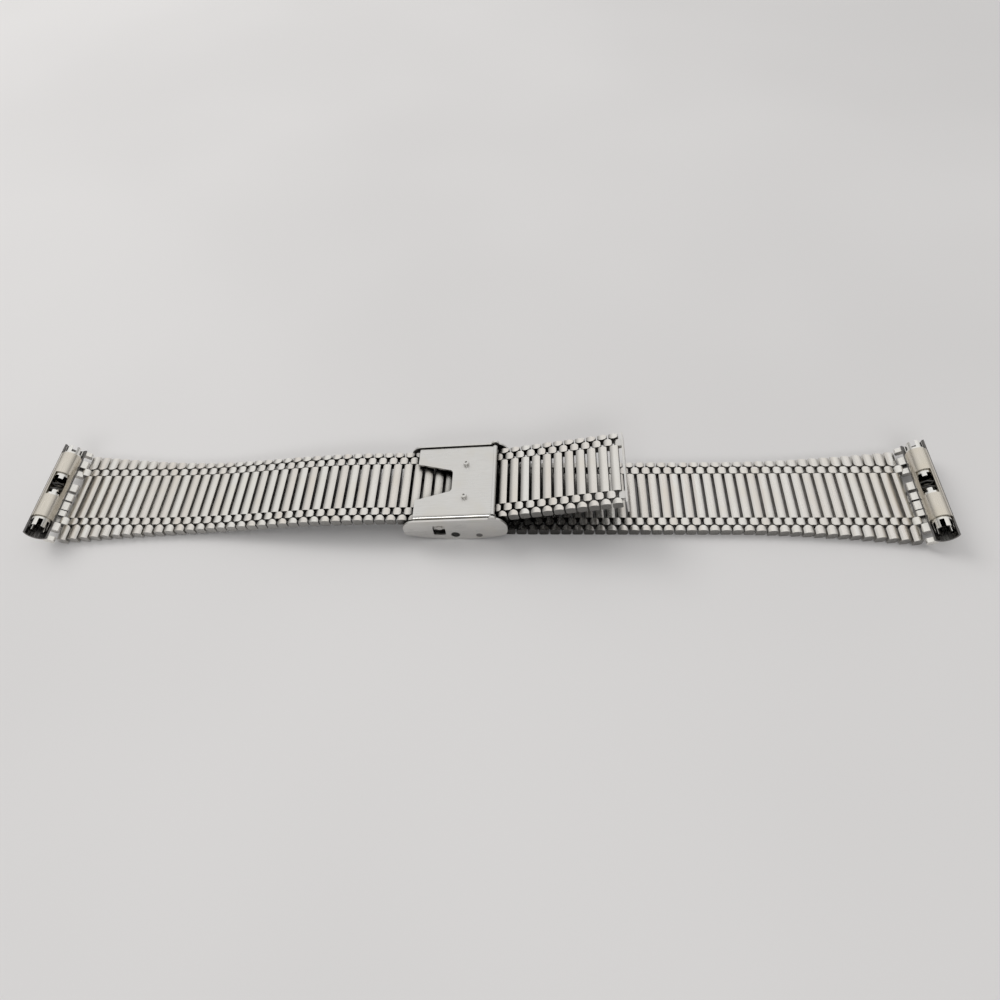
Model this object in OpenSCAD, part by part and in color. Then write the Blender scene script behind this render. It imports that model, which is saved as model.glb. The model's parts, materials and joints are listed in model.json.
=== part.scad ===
// Metal watch bracelet with a sliding clasp and telescopic end tubes.
// It lies wrist side up: X runs along the bracelet, Y across it and Z up from the table.

/* [Band] */
// Distance between neighbouring rows of links
pitch = 1.9; // [1.6:0.05:2.4]
// Thickness of the band
band_t = 1.5; // [1.3:0.05:2]
// Half of the band's width where it passes the clasp
band_half_w = 7.1; // [6.9:0.05:7.6]
// Half of the band's width at the end tubes
end_half_w = 9.05; // [8:0.05:10]
// Number of rows over which the band widens at each end
flare_rows = 15; // [8:1:18]
// How sharply the band widens at its ends
flare_power = 1.6; // [1:0.1:3]
// Number of rows on the long side, which slides through the clasp
left_rows = 52; // [50:1:56]
// Number of rows on the short side, which is pinned to the clasp
right_rows = 38; // [36:1:42]

/* [Links] */
// Gap between two neighbouring centre bars
bar_gap = 0.41; // [0.36:0.01:0.5]
// Half of the length of a centre bar
bar_half_len = 4.6; // [4.3:0.05:4.8]
// Radius of the long edges of a bar
bar_round = 0.35; // [0.1:0.05:0.5]
// Length of a bead across the band
bead_len = 1.4; // [1.1:0.05:1.5]
// Gap between a bar and the beads at its ends
bead_gap = 0.04; // [0.03:0.01:0.1]
// Gap between two neighbouring edge links
edge_gap = 0.25; // [0.2:0.01:0.4]
// Radius of the crowned top of bars, beads and edge links
top_r = 1.6; // [1.3:0.1:4]
// Radius of the corners in an edge link's side view
edge_round = 0.35; // [0.25:0.05:0.7]
// Radius of a link pin
pin_r = 0.17; // [0.12:0.01:0.18]
// Running clearance around every pin, on the radius
pin_clear = 0.02; // [0.01:0.005:0.03]
// Steel left between the end of a link pin and the outside of the edge link
pin_cap = 0.3; // [0.2:0.05:0.4]

/* [Lie on the table] */
// Height of the underside of the band where it passes the clasp
channel_h = 3.2; // [3.1:0.05:3.4]
// Number of rows at the left end that lie flat on the table
flat_rows = 5; // [3:1:6]
// Number of rows over which the long side climbs to the clasp
climb_rows = 28; // [24:1:28]
// Slope of the free tail
tail_slope = 11.5; // [8:0.25:13]
// Number of rows over which the tail bends up to its slope
tail_ramp_rows = 4; // [3:1:5]
// Slope of the short side at its pin
anchor_slope = 6; // [4:0.25:7]
// Number of rows over which that slope fades out
anchor_ramp_rows = 4; // [3:1:4]

/* [Clasp] */
// Half of the length of the clasp body
shell_half_l = 8.9; // [8.6:0.1:10]
// Radius of the convex cover
cover_r = 26; // [22:0.5:30]
// Sheet thickness of the cover
cover_t = 0.4; // [0.3:0.05:0.6]
// Thickness of each side wall
wall_t = 0.35; // [0.3:0.05:0.6]
// Corner radius of the side walls
wall_round = 2.2; // [1.5:0.1:2.6]
// Gap between the band's edge and the flap's side flange
flange_gap = 0.1; // [0.08:0.01:0.2]
// Gap between the side flange and the side wall
wall_gap = 0.2; // [0.12:0.01:0.3]
// Height at which the cover's upturned end stops
cover_lip_h = 2.9; // [2:0.1:3.1]
// Place of the window for the snap, along the clasp
window_x = -2.65; // [-3.2:0.05:-2.2]
// Height of the centre of that window
window_h = 2.8; // [2.6:0.05:3]
// Length of that window, along the clasp
window_l = 2.1; // [1.6:0.05:2.4]
// Height of that window
window_tall = 2.8; // [2.2:0.1:3]
// Radius of the cross pin's hole
cross_hole_r = 0.75; // [0.6:0.05:0.8]
// Height of the cross pin
cross_h = 1.5; // [1.45:0.05:1.6]
// Distance of the short side's pin from the middle of the clasp
anchor_x = 4.05; // [3.6:0.05:4.5]
// Radius of the pin that holds the short side
anchor_head_r = 0.55; // [0.4:0.05:0.6]

/* [Locking flap] */
// Half of the length of the flap
flap_half_l = 6.86; // [6.4:0.02:7.4]
// Sheet thickness of the flap
flap_t = 0.4; // [0.3:0.05:0.5]
// Height of the flap's top at its hinge
flap_h = 6.5; // [6.5:0.05:6.8]
// Slope of the flap, down to its free edge
flap_slope = 4; // [3:0.25:4.5]
// Sheet thickness of the flap's flanges
flange_t = 0.3; // [0.2:0.05:0.4]
// Depth of the side flanges below the flap
flange_depth = 1.1; // [0.6:0.1:1.6]
// Half of the width of the notch at its mouth
notch_half_w = 3.8; // [3:0.1:4.4]
// Half of the width of the notch at its inner end
notch_end_half_w = 2.35; // [1.8:0.05:2.8]
// Length of the notch
notch_l = 6.2; // [4:0.1:6.8]
// Radius of the notch's inner corners
notch_round = 0.8; // [0.4:0.1:1.2]
// Distance of each rivet from the centre line
rivet_y = 3.42; // [2.6:0.05:4]
// Place of the rivets along the flap
rivet_x = 1.6; // [1:0.05:2.4]
// Radius of a rivet's head
rivet_r = 0.52; // [0.36:0.02:0.6]
// Height of a rivet's head
rivet_h = 0.55; // [0.3:0.05:0.6]
// Radius of the flap's rolled knuckle
knuckle_r = 0.43; // [0.38:0.01:0.45]
// Radius of the flap's hinge pin
flap_pin_r = 0.2; // [0.15:0.01:0.22]

/* [End tubes] */
// Angle by which the bracket of the left tube stands up from the band
left_tilt = 36; // [20:1:40]
// Angle by which the bracket of the right tube stands up from the band
right_tilt = 30; // [20:1:40]
// Distance of the tube's axis from the bracket's pin, along the bracket
tube_reach = 3.75; // [3.6:0.05:4.5]
// Height of the tube's axis above the bracket's pin, square to the bracket
tube_rise = 1.66; // [1.6:0.02:2]
// Outer radius of the sleeve
sleeve_r = 1.7; // [1.6:0.05:1.8]
// Wall of the sleeve
sleeve_wall = 0.25; // [0.15:0.01:0.3]
// Length of the sleeve
sleeve_l = 13.6; // [12:0.1:15]
// Length of the window in the sleeve
sleeve_window_l = 4.8; // [4:0.1:5]
// Width of that window
sleeve_window_w = 2.2; // [1.6:0.1:2.4]
// Wall of a telescopic tip
tip_wall = 0.33; // [0.3:0.01:0.4]
// Running clearance between a tip and the sleeve, on the radius
tip_clear = 0.06; // [0.03:0.01:0.08]
// How far a tip stands out of the sleeve
tip_out = 1.8; // [1.6:0.1:3]
// How far a tip travels in
tip_travel = 0.8; // [0.5:0.05:0.8]
// Depth of the notches in a tip's crown
crown_depth = 1.3; // [0.6:0.1:1.5]
// Width of the notches in a tip's crown
crown_w = 0.7; // [0.3:0.05:0.8]
// Wire diameter of the spring
spring_wire = 0.26; // [0.2:0.02:0.28]
// Turns of the spring
spring_turns = 2; // [2:1:3]

/* [Hidden] */
$fn = 40;
SEGMENTS = ["left_1", "left_2", "left_3", "left_4", "left_5", "left_6", "clasp", "tail_1", "tail_2",
            "right_1", "right_2", "right_3", "right_4", "right_5", "right_6", "right_7", "right_8"];

STEEL = [0.80, 0.79, 0.76];
SATIN = [0.74, 0.73, 0.71];
DARK = [0.55, 0.55, 0.54];
OVER = 0.01;               // overlap of pieces that are fused or cut

// The first row of each rigid segment, and the row after the last one
clasp_first = 30;          // first row of the segment that slides in the clasp
tail_first = 40;           // first row of the tail
left_cuts = [0, 5, 10, 15, 20, 25, clasp_first, tail_first, tail_first + 6, left_rows];
right_cuts = [0, 5, 10, 15, 20, 25, 30, 34, right_rows];
clasp_row = 36;            // row nearest to the middle of the clasp
clasp_row_x = -1.27;       // where that row lies, from the middle of the clasp
tail_bend_row = 37;        // first row that slopes up to the tail

bar_w = pitch - bar_gap;
edge_w = pitch - edge_gap;
pin_off = pitch / 4;       // pins lie a quarter of a pitch each side of a row
bore_r = pin_r + pin_clear;
bead_y = bar_half_len + bead_gap + bead_len / 2;
edge_y = bar_half_len + 2 * bead_gap + bead_len;
bead_bulge = 0.04;         // how far a bead's disc stands out of its flat sides
mid_h = band_t / 2;
channel_mid = channel_h + mid_h;
channel_top = channel_h + band_t;

// Slope of each row, in degrees
climb_slope = channel_h / (pitch * climb_rows / 2) * 180 / PI;
function climb(k) = k > 0 && k < climb_rows ? climb_slope * pow(sin(180 * k / climb_rows), 2) : 0;
function tail_bend(k) = tail_slope * max(0, min(1, k / tail_ramp_rows));
function left_slope(i) = climb(i - flat_rows) + tail_bend(i - tail_bend_row + 1);
function right_slope(j) = -anchor_slope * max(0, 1 - j / anchor_ramp_rows);

// A chain of rows, where each row and each bead spans half a pitch between its pins
function step(a, b) = pitch / 4 * [cos(a), sin(a)] + pitch / 2 * [cos((a + b) / 2), sin((a + b) / 2)]
    + pitch / 4 * [cos(b), sin(b)];
left_slopes = [for (i = [0 : left_rows - 1]) left_slope(i)];
right_slopes = [for (j = [0 : right_rows - 1]) right_slope(j)];
function chain(slopes) = [for (i = 0, p = [0, 0]; i < len(slopes);
    p = i + 1 < len(slopes) ? p + step(slopes[i], slopes[i + 1]) : p, i = i + 1) p];
left_chain = chain(left_slopes);
right_chain = chain(right_slopes);
left_shift = [clasp_row_x, channel_mid] - left_chain[clasp_row];
left_at = [for (p = left_chain) p + left_shift];
// The short side ends in a bead whose outer bore holds the clasp's pin
anchor_back = pitch / 4 * [cos(right_slopes[0]), sin(right_slopes[0])]
    + pitch / 2 * [cos(right_slopes[0]), sin(right_slopes[0])];
right_shift = [anchor_x + anchor_back[0], mid_h - right_chain[right_rows - 1][1]];
right_at = [for (p = right_chain) p + right_shift];
anchor_h = right_at[0][1] - anchor_back[1];

// How far a tube's axis lies beyond the last row, once its bracket is tilted
function tube_x(tilt) = pin_off + tube_reach * cos(tilt) - tube_rise * sin(tilt);

// The bracelet is centred on its whole length
left_tip_x = left_at[0][0] - tube_x(left_tilt) - sleeve_r;
right_tip_x = right_at[right_rows - 1][0] + tube_x(right_tilt) + sleeve_r;
middle_x = (left_tip_x + right_tip_x) / 2;

// Half of the band's width at a row, counted from the end with the tube
function half_w(k) = band_half_w
    + (end_half_w - band_half_w) * pow(max(0, 1 - k / flare_rows), flare_power);

flange_in = band_half_w + flange_gap;
flange_out = flange_in + flange_t;
flange_bend = 0.8;         // outer radius of the bend between the flap and its flange
wall_in = flange_out + wall_gap;
wall_out = wall_in + wall_t;
cross_pin_r = cross_hole_r - 0.05;
rest_top = channel_h - 0.12;
rest_t = 0.3;              // sheet thickness of the leaf under the band
rest_half_l = 2.8;         // half of the leaf's length
rest_inset = 0.4;          // gap between the leaf's end and the flap's flange
roll_clear = 0.03;         // clearance between the cross pin and the leaf's roll
rest_web_t = 0.4;          // thickness of the web between the roll and the leaf
pin_end_gap = 0.14;        // how far a blind pin ends inside the outer face of a wall

// The flap is drawn around its hinge pin and then sloped
flap_hinge_x = flap_half_l - knuckle_r;
flap_hinge_h = flap_h + 0.05 - knuckle_r;
flap_l = flap_half_l + flap_hinge_x;
flap_top = flap_h - flap_hinge_h;
flap_low = flap_top - flap_t;
function flap_point(x, h) = let (dx = x - flap_hinge_x, dz = h - flap_hinge_h)
    [dx * cos(flap_slope) + dz * sin(flap_slope), dz * cos(flap_slope) - dx * sin(flap_slope)];
rivet_at = (rivet_x - flap_hinge_x) / cos(flap_slope);
rivet_shank = 0.28;        // radius of a rivet's shank
rivet_bore = 0.2;          // radius and depth of the hollow in a rivet's head
comb_t = 0.3;              // sheet thickness of the comb
comb_w = 1.4;              // width of the comb along the clasp
comb_gap = 0.2;            // height of the comb's ridge above the level part of the band
ridge_w = 0.2;             // half of the width of the comb's ridge at its root
ridge_inset = 0.3;         // how far the ridge stops short of a bar's end
tab_half_l = 1.3;          // half of the length of the tab that carries the snap's nub
nub_r = 0.5;               // radius of that nub
window_round = 0.45;       // radius of the window's corners
nub_gap = 0.05;            // gap between the nub and the wall
ear_r = 0.7;               // radius of the wall's ear around the hinge pin
cover_gap = 0.7;           // gap between the cover's floor and the short side's first bar
wall_drop = 0.25;          // depth of the walls' top edge below the flap's top
boat_round = 3;            // radius of the walls' lower corners

stop_gap = 0.6;            // gap between the last bar and the stop plate
stop_t = 0.3;              // thickness of the stop plate
stop_rise = 0.1;           // height of the stop plate above the band
stop_drop = 1.4;           // depth of the stop plate below the band
stop_eye = 0.2;            // wall of the stop's eyes around the pin

sleeve_in = sleeve_r - sleeve_wall;
tip_r = sleeve_in - tip_clear;
tip_in = tip_r - tip_wall;
tip_end = sleeve_l / 2 + tip_out;
spring_r = tip_in + 0.03 + spring_wire / 2;
// Half of the gap between the two tips, so that the spring is solid when both are pushed in
spring_half_l = tip_travel + (spring_turns + 1) * spring_wire / 2 + OVER;
saddle_r = sleeve_r + 0.02;
saddle_t = 0.35;           // thickness of the bracket's saddle
saddle_side = 1.85;        // how far the saddle reaches around the sleeve, along the bracket
saddle_low = tube_rise - saddle_r - saddle_t;
tab_from = 0.7;            // the bracket's tabs start here, from the pin
tab_to = tube_reach - saddle_side + 0.5;
tab_h = 1;                 // height of a tab
tab_round = 0.3;           // radius of its corners
// Places and widths of the tabs across the bracket
TABS = [[-9.2, 0.8], [-6.8, 1.5], [-4, 1.1], [-2.45, 1.6], [-0.6, 1.4], [1.5, 1.5],
        [4.65, 1], [6.8, 1.5], [9.2, 0.8]];

// Places a piece that was drawn around a row, with Y across the band
module at_row(p, slope) {
    translate([p[0] - middle_x, 0, p[1]]) rotate([0, -slope, 0]) children();
}

module centred() {
    translate([-middle_x, 0, 0]) children();
}

// A rectangle with four round corners, around the origin
module rounded(w, h, r) {
    square([w - 2 * r, h], center = true);
    square([w, h - 2 * r], center = true);
    for (x = [-1, 1], y = [-1, 1])
        translate([x * (w / 2 - r), y * (h / 2 - r)]) circle(r);
}

// Extrudes a side view (X, Z) across the band from y0 to y1
module across(y0, y1) {
    translate([0, y1, 0]) rotate([90, 0, 0]) linear_extrude(height = y1 - y0) children();
}

// Side view of a link: flat below and crowned above
module link_section(w, r) {
    intersection() {
        rounded(w, band_t, r);
        translate([0, mid_h - top_r]) circle(top_r, $fn = 80);
    }
}

// Two pin bores, each off from the middle
module bore_pair(off) {
    for (s = [-1, 1]) translate([s * off, 0]) circle(bore_r);
}

module bar() {
    across(-bar_half_len, bar_half_len) difference() {
        link_section(bar_w, bar_round);
        bore_pair(pin_off);
    }
}

// Plan of a bead: a disc with flat sides
module bead_plan() {
    intersection() {
        circle(bar_w / 2 + bead_bulge);
        square([bar_w, bead_len], center = true);
    }
}

module bead() {
    for (s = [-1, 1]) translate([0, s * bead_y, 0]) intersection() {
        across(-bead_len / 2, bead_len / 2) difference() {
            link_section(bar_w, bar_round);
            bore_pair(pitch / 2 - pin_off);
        }
        linear_extrude(height = 2 * band_t, center = true) bead_plan();
    }
}

// Plan of an edge link: round at its inner end, cut from w0 to w1 at its outer end
module edge_plan(w0, w1) {
    arch = edge_w / 2;
    skew = (w1 - w0) / edge_w;
    intersection() {
        union() {
            translate([0, edge_y + arch]) circle(arch);
            translate([-arch, edge_y + arch]) square([edge_w, end_half_w]);
        }
        polygon([[-edge_w, edge_y - 1], [-edge_w, w0 - skew * arch],
                 [edge_w, w1 + skew * arch], [edge_w, edge_y - 1]]);
    }
}

module edge_link(w0, w1) {
    for (s = [-1, 1]) mirror([0, s < 0 ? 1 : 0, 0]) difference() {
        intersection() {
            across(edge_y - 1, max(w0, w1) + 1) link_section(edge_w, edge_round);
            linear_extrude(height = 2 * band_t, center = true) edge_plan(w0, w1);
        }
        across(edge_y - 2, min(w0, w1) - pin_cap + pin_clear) bore_pair(pin_off);
    }
}

// One row: centre bar and two edge links. k counts rows from the end tube, side is -1 on the left.
module row(k, side) {
    bar();
    edge_link(half_w(k - side * 0.5), half_w(k + side * 0.5));
}

module row_pins(k) {
    y = half_w(k + 0.5) - pin_cap;
    for (s = [-1, 1]) translate([s * pin_off, 0, 0]) across(-y, y) circle(pin_r);
}

// The links of rows a to b - 1 on the long side. Each row carries the beads on its tail side.
module left_links(a, b) {
    color(STEEL) for (i = [a : b - 1]) {
        at_row(left_at[i], left_slopes[i]) row(i, -1);
        if (i < left_rows - 1)
            at_row(left_at[i] + pitch / 4 * [cos(left_slopes[i]), sin(left_slopes[i])]
                + pitch / 4 * [cos(bead_slope(left_slopes, i)), sin(bead_slope(left_slopes, i))],
                bead_slope(left_slopes, i)) bead();
    }
}

function bead_slope(slopes, i) = (slopes[i] + slopes[i + 1]) / 2;

module left_pins(a, b) {
    color(SATIN) for (i = [a : b - 1]) at_row(left_at[i], left_slopes[i]) row_pins(i);
}

// The links of rows a to b - 1 on the short side. Each row carries the beads on its clasp side.
module right_links(a, b) {
    color(STEEL) for (j = [a : b - 1]) {
        slope = right_slopes[j];
        before = j > 0 ? (right_slopes[j - 1] + slope) / 2 : slope;
        at_row(right_at[j], slope) row(right_rows - 1 - j, 1);
        at_row(right_at[j] - pitch / 4 * [cos(slope), sin(slope)]
            - pitch / 4 * [cos(before), sin(before)], before)
            bead();
    }
}

module right_pins(a, b) {
    color(SATIN) for (j = [a : b - 1]) at_row(right_at[j], right_slopes[j])
        row_pins(right_rows - 1 - j);
}

// Vertical plate that keeps the tail from slipping out of the clasp
module tail_stop() {
    last = left_rows - 1;
    plate_x = bar_w / 2 + stop_gap;
    color(STEEL) at_row(left_at[last], left_slopes[last]) {
        translate([plate_x, -band_half_w, -mid_h - stop_drop])
            cube([stop_t, 2 * band_half_w, stop_drop + band_t + stop_rise]);
        for (s = [-1, 1]) translate([0, s * bead_y, 0]) stop_eye_arm(plate_x);
    }
}

// Arm that hooks the stop on to the last row's outer pin
module stop_eye_arm(plate_x) {
    eye_r = bore_r + stop_eye;
    across(-bead_len / 2, bead_len / 2) difference() {
        union() {
            translate([pin_off, 0]) circle(eye_r);
            translate([pin_off, -eye_r]) square([plate_x - pin_off + OVER, 2 * eye_r]);
        }
        translate([pin_off, 0]) circle(bore_r);
    }
}

// Side view of the clasp body, drawn inset by d. The table is at height 0.
module boat(d) {
    intersection() {
        translate([0, cover_r]) circle(cover_r - d, $fn = 120);
        translate([0, flap_h / 2]) rounded(2 * (shell_half_l - d), flap_h - 2 * d, boat_round - d);
        translate([flap_hinge_x, flap_hinge_h]) rotate(flap_slope)
            translate([-flap_hinge_x, flap_top - wall_drop - flap_h])
                rounded(2 * (shell_half_l - d), 2 * (flap_h - d), wall_round - d);
    }
}

module wall_profile() {
    difference() {
        union() {
            boat(0);
            translate([flap_hinge_x, flap_hinge_h]) circle(ear_r);
        }
        translate([window_x, window_h]) rounded(window_l, window_tall, window_round);
        translate([0, cross_h]) circle(cross_hole_r);
        translate([anchor_x, anchor_h]) circle(anchor_head_r + pin_clear);
    }
}

module clasp_shell() {
    cover_end = anchor_x - bar_w / 2 - cover_gap;
    color(SATIN) centred() {
        for (s = [-1, 1]) mirror([0, s < 0 ? 1 : 0, 0]) difference() {
            across(wall_in, wall_out) wall_profile();
            translate([flap_hinge_x, 0, flap_hinge_h])
                across(wall_in - 1, wall_out - pin_end_gap + pin_clear) circle(flap_pin_r + pin_clear);
        }
        across(-wall_in - OVER, wall_in + OVER) intersection() {
            difference() {
                boat(0);
                boat(cover_t);
            }
            translate([-2 * shell_half_l, -1])
                square([2 * shell_half_l + cover_end, cover_lip_h + 1]);
        }
    }
}

// Pin that holds the short side, with its heads showing in the side walls
module anchor_pin() {
    head_gap = 0.12;
    color(DARK) centred() translate([anchor_x, 0, anchor_h]) {
        across(-wall_in, wall_in) circle(pin_r);
        for (s = [-1, 1]) mirror([0, s < 0 ? 1 : 0, 0])
            across(wall_in - head_gap, wall_out - head_gap / 2) circle(anchor_head_r);
    }
}

module cross_pin() {
    color(DARK) centred() translate([0, 0, cross_h])
        across(pin_end_gap - wall_out, wall_out - pin_end_gap) circle(cross_pin_r);
}

// Leaf that rolls around the cross pin and carries the sliding band
module band_rest() {
    roll_in = cross_pin_r + roll_clear;
    y = flange_in - rest_inset;
    color(SATIN) centred() across(-y, y) difference() {
        union() {
            translate([0, cross_h]) circle(roll_in + rest_t);
            translate([-rest_web_t / 2, cross_h]) square([rest_web_t, rest_top - cross_h - OVER]);
            translate([-rest_half_l, rest_top - rest_t]) square([2 * rest_half_l, rest_t]);
        }
        translate([0, cross_h]) circle(roll_in);
    }
}

module flap_hinge_pin() {
    color(SATIN) centred() translate([flap_hinge_x, 0, flap_hinge_h])
        across(pin_end_gap - wall_out, wall_out - pin_end_gap) circle(flap_pin_r);
}

// Places a piece of the flap, which is drawn around the hinge pin with its sheet level
module at_flap() {
    translate([flap_hinge_x - middle_x, 0, flap_hinge_h]) rotate([0, -flap_slope, 0]) children();
}

// Plan of the notch, from the flap's free edge inwards
module notch_plan() {
    end_x = notch_l - flap_l;
    corner_y = notch_end_half_w - notch_round;
    polygon([[-flap_l - 1, -notch_half_w - 0.2], [-flap_l, -notch_half_w],
             [end_x - notch_round, -notch_end_half_w], [end_x - notch_round, notch_end_half_w],
             [-flap_l, notch_half_w], [-flap_l - 1, notch_half_w + 0.2]]);
    for (s = [-1, 1]) translate([end_x - notch_round, s * corner_y]) circle(notch_round);
    translate([end_x - 2 * notch_round, -corner_y]) square([2 * notch_round, 2 * corner_y]);
}

// Section of the flap across the clasp (Y, Z): flat sheet, bent edges and flanges
module flap_section() {
    bend_at = [flange_out - flange_bend, flap_top - flange_bend];
    for (s = [-1, 1]) mirror([s < 0 ? 1 : 0, 0]) {
        translate([flange_in, flap_low - flange_depth])
            square([flange_t, flange_depth + flap_t - flange_bend]);
        intersection() {
            difference() {
                translate(bend_at) circle(flange_bend);
                translate(bend_at) circle(flange_bend - flange_t);
            }
            translate(bend_at) square(flange_bend);
        }
        translate([0, flap_low]) square([bend_at[0] + OVER, flap_t]);
    }
}

// Side view of the tab below the flange, from which the snap's nub stands out
module snap_tab() {
    nub = flap_point(window_x, window_h);
    for (s = [-1, 1]) mirror([0, s < 0 ? 1 : 0, 0]) {
        across(flange_in, flange_out) translate([nub[0] - tab_half_l, nub[1] - nub_r])
            square([2 * tab_half_l, flap_low - flange_depth - nub[1] + nub_r + OVER]);
        translate([nub[0], 0, nub[1]]) across(flange_in, wall_in - nub_gap) circle(nub_r);
    }
}

module rivet_holes() {
    for (s = [-1, 1]) translate([rivet_at, s * rivet_y, flap_low - 1])
        cylinder(r = rivet_shank, h = 3);
}

module lock_flap() {
    relief = 2 * knuckle_r;
    color(STEEL) at_flap() difference() {
        union() {
            difference() {
                translate([-flap_l, 0, 0]) rotate([90, 0, 90])
                    linear_extrude(height = flap_l) flap_section();
                translate([0, 0, flap_low - 1]) linear_extrude(height = 3) notch_plan();
                for (s = [-1, 1]) translate([-relief, s * (flange_in + 1) - 1, flap_low - flange_depth - 1])
                    cube([2 * relief, 2, flange_depth + 1]);
            }
            across(-flange_in, flange_in) circle(knuckle_r);
            snap_tab();
        }
        across(-flange_out - 1, flange_out + 1) circle(flap_pin_r + pin_clear);
        rivet_holes();
    }
}

// Comb under the flap. Its ridge points into the gap between two bars.
module locking_comb() {
    ridge = flap_point(rivet_x, channel_top + comb_gap);
    y = bar_half_len - ridge_inset;
    color(SATIN) at_flap() difference() {
        union() {
            translate([rivet_at - comb_w / 2, -rivet_y - 1, flap_low - comb_t])
                cube([comb_w, 2 * rivet_y + 2, comb_t]);
            across(-y, y) polygon([[ridge[0] - ridge_w, flap_low - comb_t + OVER], ridge,
                                   [ridge[0] + ridge_w, flap_low - comb_t + OVER]]);
        }
        rivet_holes();
    }
}

module flap_rivets() {
    color(STEEL) at_flap() for (s = [-1, 1]) translate([rivet_at, s * rivet_y, 0]) difference() {
        union() {
            translate([0, 0, flap_low - comb_t])
                cylinder(r = rivet_shank - OVER, h = comb_t + flap_t + OVER);
            translate([0, 0, flap_top]) cylinder(r = rivet_r, h = rivet_h);
        }
        translate([0, 0, flap_top + rivet_h - rivet_bore]) cylinder(r = rivet_bore, h = 1);
    }
}

// Places a piece of an end tube, which is drawn around the pin of the last row. The left end is a
// mirror image of the right end.
module at_end(side) {
    p = side > 0 ? right_at[right_rows - 1] : left_at[0];
    translate([p[0] + side * pin_off - middle_x, 0, p[1]]) mirror([side > 0 ? 0 : 1, 0, 0])
        rotate([0, side > 0 ? -right_tilt : -left_tilt, 0]) children();
}

module at_tube(side) {
    at_end(side) translate([tube_reach, 0, tube_rise]) children();
}

// Bracket that hinges on the last row and carries the sleeve
module end_bracket(side) {
    color(STEEL) at_end(side) difference() {
        union() {
            bracket_saddle();
            for (tab = TABS) translate([0, tab[0], 0]) bracket_tab(tab[1]);
            for (s = [-1, 1]) translate([0, s * bead_y, 0]) bracket_knuckle();
        }
        translate([tube_reach, 0, tube_rise]) across(-sleeve_l, sleeve_l) circle(saddle_r);
        for (s = [-1, 1]) across(s * bead_y - bead_len, s * bead_y + bead_len) circle(bore_r);
    }
}

// Curved sheet under the sleeve, as long as the row of tabs
module bracket_saddle() {
    half_w = TABS[len(TABS) - 1][0] + TABS[len(TABS) - 1][1] / 2;
    across(-half_w, half_w) intersection() {
        translate([tube_reach, tube_rise]) circle(saddle_r + saddle_t);
        translate([tube_reach - saddle_side, saddle_low]) square([2 * saddle_side, tube_rise - 0.3]);
    }
}

module bracket_tab(w) {
    across(-w / 2, w / 2) translate([(tab_from + tab_to) / 2, saddle_low + tab_h / 2])
        rounded(tab_to - tab_from, tab_h, tab_round);
}

// Bead-shaped knuckle on the last row's pin, with its arm to the saddle
module bracket_knuckle() {
    arm_w = bead_len - 0.2;
    translate([pitch / 2 - pin_off, 0, 0]) intersection() {
        across(-bead_len / 2, bead_len / 2) link_section(bar_w, bar_round);
        linear_extrude(height = 2 * band_t, center = true) bead_plan();
    }
    translate([pitch / 2 - pin_off, -arm_w / 2, saddle_low])
        cube([tube_reach - pitch / 2 + pin_off, arm_w, saddle_t]);
}

module tube(r_out, r_in, y0, y1) {
    across(y0, y1) difference() {
        circle(r_out);
        circle(r_in);
    }
}

module sleeve(side) {
    color(STEEL) at_tube(side) difference() {
        tube(sleeve_r, sleeve_in, -sleeve_l / 2, sleeve_l / 2);
        translate([-sleeve_window_w / 2, -sleeve_window_l / 2, 0])
            cube([sleeve_window_w, sleeve_window_l, 2 * sleeve_r]);
    }
}

// Three bars across a tip's axis, which cut six notches
module notch_bars(first_angle, y, l) {
    for (a = [first_angle : 60 : first_angle + 120]) rotate([0, a, 0])
        translate([-crown_w / 2, y, -2 * tip_r]) cube([crown_w, l, 4 * tip_r]);
}

// Telescopic tip: a tube with a notched crown at both ends. far is 1 away from the viewer.
module tip(side, far) {
    inner_depth = crown_depth / 2;
    color(SATIN) at_tube(side) mirror([0, far > 0 ? 0 : 1, 0]) difference() {
        tube(tip_r, tip_in, spring_half_l, tip_end);
        notch_bars(0, tip_end - crown_depth, crown_depth + 1);
        notch_bars(30, spring_half_l - 1, 1 + inner_depth);
    }
}

// Coil of one unbroken wire between the two tips
module spring(side) {
    rings = 8;
    sides = 6;
    wire_r = spring_wire / 2;
    half = spring_half_l - wire_r - 0.02;
    n = spring_turns * rings;
    points = [for (i = [0 : n], j = [0 : sides - 1])
        let (a = 360 * i / rings, y = -half + 2 * half * i / n, b = 360 * j / sides,
             r = spring_r + wire_r * cos(b))
        [r * cos(a), y + wire_r * sin(b), r * sin(a)]];
    faces = [for (i = [0 : n - 1], j = [0 : sides - 1], t = [0, 1])
        let (k = (j + 1) % sides, p = i * sides, q = p + sides)
        t == 0 ? [p + j, p + k, q + k] : [p + j, q + k, q + j]];
    caps = [for (j = [1 : sides - 2], t = [0, 1])
        t == 0 ? [0, j + 1, j] : [n * sides, n * sides + j, n * sides + j + 1]];
    color(DARK) at_tube(side) polyhedron(points = points, faces = concat(faces, caps));
}

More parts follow.
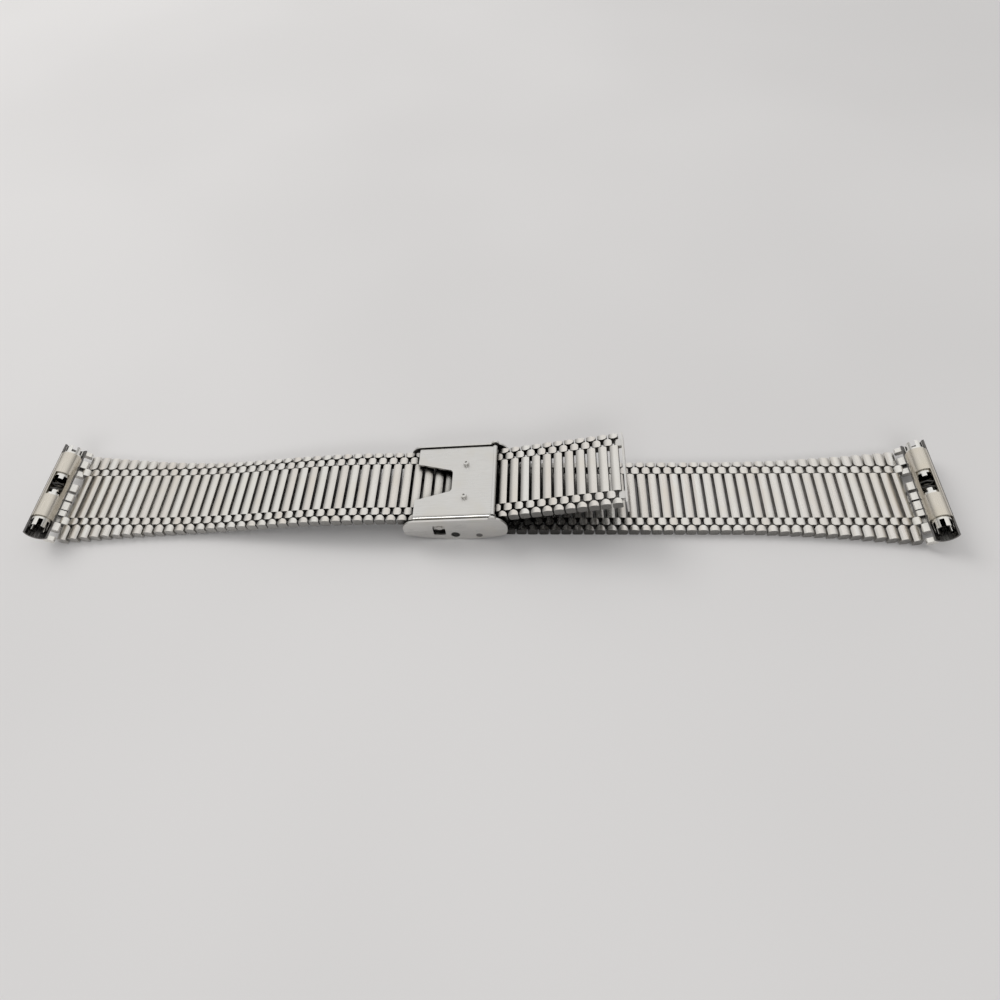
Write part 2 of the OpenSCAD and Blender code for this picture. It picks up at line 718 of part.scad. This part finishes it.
for (s = [0 : len(left_cuts) - 2]) {
    left_links(left_cuts[s], left_cuts[s + 1]);
    left_pins(left_cuts[s], left_cuts[s + 1]);
}
for (s = [0 : len(right_cuts) - 2]) {
    name = SEGMENTS[len(left_cuts) - 1 + s];
    right_links(right_cuts[s], right_cuts[s + 1]);
    right_pins(right_cuts[s], right_cuts[s + 1]);
}
tail_stop();
clasp_shell();
anchor_pin();
cross_pin();
band_rest();
flap_hinge_pin();
lock_flap();
locking_comb();
flap_rivets();
end_bracket(-1);  // left_end_bracket
sleeve(-1);  // left_sleeve
tip(-1, 1);  // left_tip_far
tip(-1, -1);  // left_tip_near
spring(-1);  // left_spring
end_bracket(1);  // right_end_bracket
sleeve(1);  // right_sleeve
tip(1, 1);  // right_tip_far
tip(1, -1);  // right_tip_near
spring(1);  // right_spring
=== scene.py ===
"""Looks of a steel watch bracelet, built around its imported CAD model. All lengths are in metres."""

import json
import math

import bpy
from mathutils import Matrix, Vector


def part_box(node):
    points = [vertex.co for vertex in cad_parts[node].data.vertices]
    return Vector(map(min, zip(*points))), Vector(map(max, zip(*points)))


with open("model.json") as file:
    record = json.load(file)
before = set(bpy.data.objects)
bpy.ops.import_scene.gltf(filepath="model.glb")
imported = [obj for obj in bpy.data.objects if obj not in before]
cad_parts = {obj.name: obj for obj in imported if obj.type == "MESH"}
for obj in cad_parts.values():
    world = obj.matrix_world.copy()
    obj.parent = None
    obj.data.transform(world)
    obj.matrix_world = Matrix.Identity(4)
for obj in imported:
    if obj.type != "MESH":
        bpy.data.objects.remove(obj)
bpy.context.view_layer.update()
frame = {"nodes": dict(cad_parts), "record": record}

MM = 0.001
PITCH = 1.9 * MM
SIDES = ("left", "right")
BAND_EDGE = 7.1 * MM
# How far sharp edges are rounded, by node or by material slot
EDGE_BREAK = {
    "link_steel": 0.07 * MM,
    "clasp_steel": 0.08 * MM,
    "lock_flap": 0.16 * MM,
    "flap_rivets": 0.2 * MM,
    "tube_steel": 0.04 * MM,
}
# The painted shade in the gaps and hollows is lighter towards the band's ends, between these
# distances from the middle
END_FADE = (12 * MM, 62 * MM)
# The band's outer sides, duller steel with painted shade, get darker along the bracelet, between
# these places
SIDE_FADE = (-40 * MM, 25 * MM)
# Distances from a tube's axis over which a tip's inside, or the saddle's rim, ends
TIP_INSIDE = (1.24 * MM, 1.34 * MM)
SADDLE_RIM = (2.02 * MM, 2.06 * MM)

# Brush lines: how finely they repeat along X, Y and Z
BRUSH_SCALE = 900.0
LINK_GRAIN = (6.0, 0.35, 6.0)
TUBE_GRAIN = (6.0, 0.4, 6.0)
CLASP_GRAIN = (0.35, 6.0, 6.0)
BRUSH_DEPTH = 2e-6
# How much the brush lines lighten and darken a steel
BRUSH_TINT = 0.04
CLOUD_SCALE = 260.0

LINK_COLOUR = (0.83, 0.815, 0.78)
ROW_TINT = (0.90, 0.85, 0.82, 1)
# Painted shade on the bars' sloping sides, so they look rounded
FLANK_SHADE_COLOUR = (0.50, 0.485, 0.46, 1)
# Colour of the links' outer sides, duller steel with painted shade, and of their undersides, painted
# shade; it darkens from the first to the second along the bracelet
SIDE_COLOURS = ((0.48, 0.47, 0.45, 1), (0.20, 0.195, 0.185, 1))
# Painted shade in the gaps and hollows: the first colour at the middle, the second towards the band's
# ends
GAP_SHADE_COLOURS = ((0.03, 0.029, 0.027, 1), (0.80, 0.78, 0.74, 1))
CLASP_COLOUR = (0.70, 0.69, 0.67)
# Painted shade in the clasp's hollows
CLASP_SHADE = (0.05, 0.048, 0.045, 1)
BRACKET_COLOUR = (0.84, 0.82, 0.78)
# Painted shade on the saddle's rim, inside it and in the bracket's hollows
BRACKET_SHADE = (0.14, 0.135, 0.13, 1)
TUBE_COLOUR = (0.70, 0.655, 0.58)
TIP_COLOUR = (0.84, 0.83, 0.80)
# Painted shade inside the end tubes and tips
TUBE_INSIDE_SHADE = (0.04, 0.038, 0.035, 1)
TABLE_COLOURS = ((0.70, 0.69, 0.69, 1), (0.74, 0.73, 0.73, 1))

# The photograph's camera: elevation, yaw and roll in degrees, and its place
CAMERA_TURN = (55.4628, -6.2690, -5.2741)
CAMERA_PLACE = Vector((11.575, -69.841, 102.175)) * MM
CAMERA_SENSOR = 36.0
CAMERA_LENS = 25.2
# Half of the table's width, and how far it lies below the bracelet
TABLE_HALF = 3.0
TABLE_DROP = 0.02 * MM


def set_range(node, low, high, to_low, to_high):
    """Sets the four limits of a Map Range node."""
    names = ("From Min", "From Max", "To Min", "To Max")
    for socket, number in zip(names, (low, high, to_low, to_high)):
        node.inputs[socket].default_value = number


class Nodes:
    """Short calls for building a material's node tree."""

    def __init__(self, name):
        self.material = bpy.data.materials.new(name)
        self.material.use_nodes = True
        self.tree = self.material.node_tree
        self.shader = self.tree.nodes["Principled BSDF"]

    def add(self, kind, **settings):
        node = self.tree.nodes.new(kind)
        for key, value in settings.items():
            setattr(node, key, value)
        return node

    def feed(self, value, socket):
        if isinstance(value, bpy.types.NodeSocket):
            self.tree.links.new(value, socket)
        else:
            socket.default_value = value

    def math(self, operation, a, b=0.0):
        node = self.add("ShaderNodeMath", operation=operation)
        self.feed(a, node.inputs[0])
        self.feed(b, node.inputs[1])
        return node.outputs[0]

    def ramp(self, value, low, high, to_low=0.0, to_high=1.0):
        node = self.add("ShaderNodeMapRange", interpolation_type="SMOOTHSTEP")
        self.feed(value, node.inputs["Value"])
        set_range(node, low, high, to_low, to_high)
        return node.outputs["Result"]

    def mix(self, factor, a, b, blend="MIX"):
        node = self.add("ShaderNodeMix", data_type="RGBA", blend_type=blend)
        self.feed(factor, node.inputs[0])
        self.feed(a, node.inputs[6])
        self.feed(b, node.inputs[7])
        return node.outputs[2]

    def coordinates(self):
        return self.add("ShaderNodeTexCoord").outputs

    def parts(self, vector):
        node = self.add("ShaderNodeSeparateXYZ")
        self.feed(vector, node.inputs[0])
        return node.outputs

    def noise(self, vector, scale, detail=4.0, stretch=(1, 1, 1)):
        mapping = self.add("ShaderNodeMapping")
        self.feed(vector, mapping.inputs["Vector"])
        mapping.inputs["Scale"].default_value = [scale * s for s in stretch]
        node = self.add("ShaderNodeTexNoise")
        self.feed(mapping.outputs[0], node.inputs["Vector"])
        node.inputs["Scale"].default_value = 1.0
        node.inputs["Detail"].default_value = detail
        return node.outputs["Fac"]

    def hollow(self, reach, low, high):
        """1 deep in hollows and gaps, 0 on open faces."""
        node = self.add("ShaderNodeAmbientOcclusion", samples=6)
        node.inputs["Distance"].default_value = reach
        return self.ramp(node.outputs["AO"], low, high, 1.0, 0.0)

    def bump(self, height, distance):
        node = self.add("ShaderNodeBump")
        self.feed(height, node.inputs["Height"])
        node.inputs["Strength"].default_value = 1.0
        node.inputs["Distance"].default_value = distance
        self.tree.links.new(node.outputs[0], self.shader.inputs["Normal"])


def steel(name, colour, roughness, grain, anisotropic=0.3):
    """Satin steel: brush lines stretched along one axis, cloudy wear, and a tint that drifts."""
    m = Nodes(name)
    at = m.coordinates()["Object"]
    brushed = m.noise(at, BRUSH_SCALE, 5.0, grain)
    cloud = m.noise(at, CLOUD_SCALE, 3.0)
    lines = m.ramp(brushed, 0.3, 0.7)
    brushed_rough = m.ramp(brushed, 0.25, 0.75, roughness - 0.06, roughness + 0.08)
    cloudy_rough = m.ramp(cloud, 0.3, 0.7, -0.03, 0.05)
    m.feed(m.math("ADD", brushed_rough, cloudy_rough), m.shader.inputs["Roughness"])
    dull = [c * (1 - BRUSH_TINT) for c in colour]
    bright = [min(1.0, c * (1 + BRUSH_TINT)) for c in colour]
    colour_socket = m.mix(lines, (*dull, 1), (*bright, 1))
    warm = (min(1.0, colour[0] * 1.02), colour[1], colour[2] * 0.95, 1)
    colour_socket = m.mix(m.ramp(cloud, 0.45, 0.75, 0.0, 0.6), colour_socket, warm)
    m.shader.inputs["Metallic"].default_value = 1.0
    m.shader.inputs["Anisotropic"].default_value = anisotropic
    m.bump(brushed, BRUSH_DEPTH)
    m.feed(colour_socket, m.shader.inputs["Base Color"])
    return m, colour_socket, at


def gap_shade_and_side_masks(m, at, edge):
    """Two masks: faces that look into a gap, where painted shade goes, and the band's outer sides,
    which are made duller and given painted shade. Tops are in neither.
    """
    normal = m.parts(m.coordinates()["Normal"])
    place = m.parts(at)
    upright = m.ramp(m.math("ABSOLUTE", normal[2]), 0.05, 0.55, 1.0, 0.0)
    outer = m.math(
        "MULTIPLY",
        m.ramp(m.math("ABSOLUTE", place[1]), edge - 0.25 * MM, edge - 0.15 * MM),
        m.ramp(m.math("ABSOLUTE", normal[1]), 0.9, 0.96),
    )
    gap_shade = m.math("MULTIPLY", upright, m.math("SUBTRACT", 1.0, outer))
    return gap_shade, m.math("MULTIPLY", upright, outer)


def link_steel():
    """Steel of the links, each row a little different: painted shade in the gaps, in hollows such as
    beneath the tail, on the bars' sloping sides and on undersides; the outer sides are duller steel
    with painted shade.
    """
    m, colour, at = steel("link_steel", LINK_COLOUR, 0.30, LINK_GRAIN)
    gap_shade, outer = gap_shade_and_side_masks(m, at, BAND_EDGE)
    place = m.parts(at)
    normal = m.parts(m.coordinates()["Normal"])
    row = m.add("ShaderNodeTexWhiteNoise", noise_dimensions="1D")
    m.feed(m.math("FLOOR", m.math("DIVIDE", place[0], PITCH)), row.inputs["W"])
    tinted = m.mix(m.math("MULTIPLY", row.outputs["Value"], 0.7), colour, ROW_TINT, "MULTIPLY")
    # Painted shade: faces sloping along the band are darkened, so the bars look rounded
    flank_shade = m.ramp(m.math("ABSOLUTE", normal[0]), 0.14, 0.6)
    tinted = m.mix(flank_shade, tinted, FLANK_SHADE_COLOUR)
    # Painted shade on faces that look down; the outer sides are duller steel and also get painted
    # shade
    underside_shade = m.ramp(normal[2], -0.6, -0.2, 1.0, 0.0)
    side = m.mix(m.ramp(place[0], *SIDE_FADE), *SIDE_COLOURS)
    dull_and_shaded = m.mix(m.math("MAXIMUM", outer, underside_shade), tinted, side)
    # Painted shade in the gaps and in hollows such as beneath the tail, lighter towards the band's
    # ends
    towards_end = m.ramp(m.math("ABSOLUTE", place[0]), *END_FADE)
    gap_shade_colour = m.mix(towards_end, *GAP_SHADE_COLOURS)
    hollow = m.hollow(8 * MM, 0.42, 0.97)
    deep = m.math("MULTIPLY", hollow, m.ramp(towards_end, 0.0, 1.0, 1.0, 0.3))
    m.feed(m.mix(m.math("MAXIMUM", gap_shade, deep), dull_and_shaded, gap_shade_colour), m.shader.inputs["Base Color"])
    return m.material


def from_axis(m, at, side):
    """Distance from the axis of an end tube, which is taken from its sleeve."""
    low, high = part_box(f"{side}_sleeve")
    place = m.parts(at)
    across = m.math("SUBTRACT", place[0], (low.x + high.x) / 2)
    up = m.math("SUBTRACT", place[2], (low.z + high.z) / 2)
    squares = m.math("ADD", m.math("MULTIPLY", across, across), m.math("MULTIPLY", up, up))
    return m.math("SQRT", squares)


def tube_steel(name, side, colour, roughness):
    """Steel of an end tube or its tips, with painted shade inside."""
    m, colour, at = steel(f"{name}_{side}", colour, roughness, TUBE_GRAIN)
    # Painted shade inside the tube and tips, near their axis
    inside = m.ramp(from_axis(m, at, side), *TIP_INSIDE, 1.0, 0.0)
    m.feed(m.mix(inside, colour, TUBE_INSIDE_SHADE), m.shader.inputs["Base Color"])
    return m.material


def bracket_steel(side):
    """Steel of an end bracket, with painted shade on the saddle's rim, inside it and in its hollows.
    """
    m, colour, at = steel(f"bracket_steel_{side}", BRACKET_COLOUR, 0.24, TUBE_GRAIN, anisotropic=0.4)
    # Painted shade on the saddle's rim, inside it and in the bracket's hollows
    under = m.ramp(from_axis(m, at, side), *SADDLE_RIM, 1.0, 0.0)
    dark = m.math("MAXIMUM", under, m.hollow(3 * MM, 0.1, 0.6))
    m.feed(m.mix(dark, colour, BRACKET_SHADE), m.shader.inputs["Base Color"])
    return m.material


def clasp_steel():
    """Brushed sheet with polished bends on its near side, and painted shade in its hollows."""
    m, colour, _ = steel("clasp_steel", CLASP_COLOUR, 0.33, CLASP_GRAIN, anisotropic=0.4)
    # Painted shade in the clasp's hollows
    hollow = m.hollow(1.4 * MM, 0.03, 0.3)
    m.feed(m.mix(hollow, colour, CLASP_SHADE), m.shader.inputs["Base Color"])
    turned = m.math("MULTIPLY", m.parts(m.coordinates()["Normal"])[1], -1.0)
    bend = m.math("MULTIPLY", m.ramp(turned, 0.2, 0.45), m.ramp(turned, 0.85, 0.97, 1.0, 0.0))
    rough = m.shader.inputs["Roughness"]
    m.feed(m.math("MULTIPLY", rough.links[0].from_socket, m.ramp(bend, 0.0, 1.0, 1.0, 0.4)), rough)
    return m.material


def make_materials():
    made = {"link_steel": link_steel()}
    for name, colour, roughness, grain, anisotropic in (
        # The pins are near black as painted shade of the gaps, and the anchor pin's head is dark as
        # painted shade of its hole
        ("pin_steel", (0.06, 0.058, 0.055), 0.5, TUBE_GRAIN, 0.2),
        ("head_steel", (0.20, 0.195, 0.19), 0.4, (6.0, 6.0, 6.0), 0.0),
        ("spring_steel", (0.16, 0.155, 0.15), 0.4, (3.0, 3.0, 3.0), 0.0),
    ):
        made[name] = steel(name, colour, roughness, grain, anisotropic=anisotropic)[0].material
    made["clasp_steel"] = clasp_steel()
    for side in SIDES:
        made[f"bracket_steel_{side}"] = bracket_steel(side)
        made[f"tube_steel_{side}"] = tube_steel("tube_steel", side, TUBE_COLOUR, 0.22)
        made[f"tip_steel_{side}"] = tube_steel("tip_steel", side, TIP_COLOUR, 0.16)
    return made


def material_of(part):
    node, slot = part["node"], part["material_slot"]
    side = node.split("_")[0]
    if node == "anchor_pin":
        return "head_steel"
    if slot != "tube_steel":
        return slot
    if node.endswith("bracket"):
        return f"bracket_steel_{side}"
    return f"tip_steel_{side}" if "_tip_" in node else f"{slot}_{side}"


def dress(materials):
    """Gives every CAD node the material of its slot, and breaks its sharp edges."""
    for part in frame["record"]["subparts"]:
        node = frame["nodes"][part["node"]]
        node.data.materials.clear()
        node.data.materials.append(materials[material_of(part)])
        width = EDGE_BREAK.get(part["node"], EDGE_BREAK.get(part["material_slot"]))
        if width:
            bevel = node.modifiers.new("edges", "BEVEL")
            bevel.width = width
            bevel.segments = 3
            bevel.limit_method = "ANGLE"
            bevel.angle_limit = math.radians(40)
            bevel.harden_normals = True
            bevel.use_clamp_overlap = part["node"] != "lock_flap"


def camera():
    """Sets up the photograph's camera from its turn and place."""
    elevation, yaw, roll = (math.radians(a) for a in CAMERA_TURN)
    tilt = Matrix((
        (1, 0, 0),
        (0, -math.sin(elevation), -math.cos(elevation)),
        (0, math.cos(elevation), -math.sin(elevation)),
    ))
    axes = Matrix.Rotation(roll, 3, "Z") @ tilt @ Matrix.Rotation(yaw, 3, "Z")
    data = bpy.data.cameras.new("camera")
    data.sensor_width = CAMERA_SENSOR
    data.lens = CAMERA_LENS
    data.clip_start, data.clip_end = 0.005, 10.0
    cam = bpy.data.objects.new("camera", data)
    bpy.context.collection.objects.link(cam)
    turn = Matrix((axes[0], -axes[1], -axes[2])).transposed()
    cam.matrix_world = Matrix.Translation(CAMERA_PLACE) @ turn.to_4x4()
    bpy.context.scene.camera = cam


def floor():
    m = Nodes("table_top")
    at = m.coordinates()["Object"]
    cloud = m.noise(at, 9.0, 2.0)
    m.feed(m.mix(m.ramp(cloud, 0.3, 0.7), *TABLE_COLOURS), m.shader.inputs["Base Color"])
    m.shader.inputs["Roughness"].default_value = 0.6
    m.shader.inputs["Specular IOR Level"].default_value = 0.2
    mesh = bpy.data.meshes.new("table_top")
    corners = [(x * TABLE_HALF, y * TABLE_HALF, 0) for x, y in ((-1, -1), (1, -1), (1, 1), (-1, 1))]
    mesh.from_pydata(corners, [], [(0, 1, 2, 3)])
    mesh.materials.append(m.material)
    table = bpy.data.objects.new("table_top", mesh)
    table.location.z = -TABLE_DROP
    bpy.context.collection.objects.link(table)


def softbox(name, place, size, power, colour=(1, 1, 1)):
    data = bpy.data.lights.new(name, "AREA")
    data.shape = "RECTANGLE"
    data.size, data.size_y = size
    data.energy = power
    data.color = colour
    lamp = bpy.data.objects.new(name, data)
    lamp.location = place
    lamp.rotation_euler = (-Vector(place)).to_track_quat("-Z", "Y").to_euler()
    bpy.context.collection.objects.link(lamp)
    return lamp


def sky(name, bright, dark, toward, low, high):
    """World light that is brightest in one direction and falls off smoothly around it."""
    world = bpy.data.worlds.new(name)
    bpy.context.scene.world = world
    world.use_nodes = True
    tree = world.node_tree
    back = tree.nodes["Background"]
    direction = tree.nodes.new("ShaderNodeTexCoord").outputs["Generated"]
    dot = tree.nodes.new("ShaderNodeVectorMath")
    dot.operation = "DOT_PRODUCT"
    tree.links.new(direction, dot.inputs[0])
    dot.inputs[1].default_value = Vector(toward).normalized()
    ramp = tree.nodes.new("ShaderNodeMapRange")
    ramp.interpolation_type = "SMOOTHSTEP"
    tree.links.new(dot.outputs["Value"], ramp.inputs["Value"])
    set_range(ramp, low, high, dark, bright)
    tree.links.new(ramp.outputs["Result"], back.inputs["Strength"])
    back.inputs["Color"].default_value = (1.0, 0.995, 0.985, 1)


def light():
    sky("studio", 0.88, 0.28, (0.0, 0.55, 0.83), 0.25, 0.92)
    window = softbox("window", (-0.46, 0.36, 0.50), (0.4, 0.35), 2.1, (1.0, 0.99, 0.97))
    window.visible_glossy = False
    softbox("front", (0.0, -0.8, 0.55), (0.7, 0.25), 1.7)


materials = make_materials()
dress(materials)
camera()
floor()
light()

bpy.context.scene.view_settings.view_transform = "Standard"
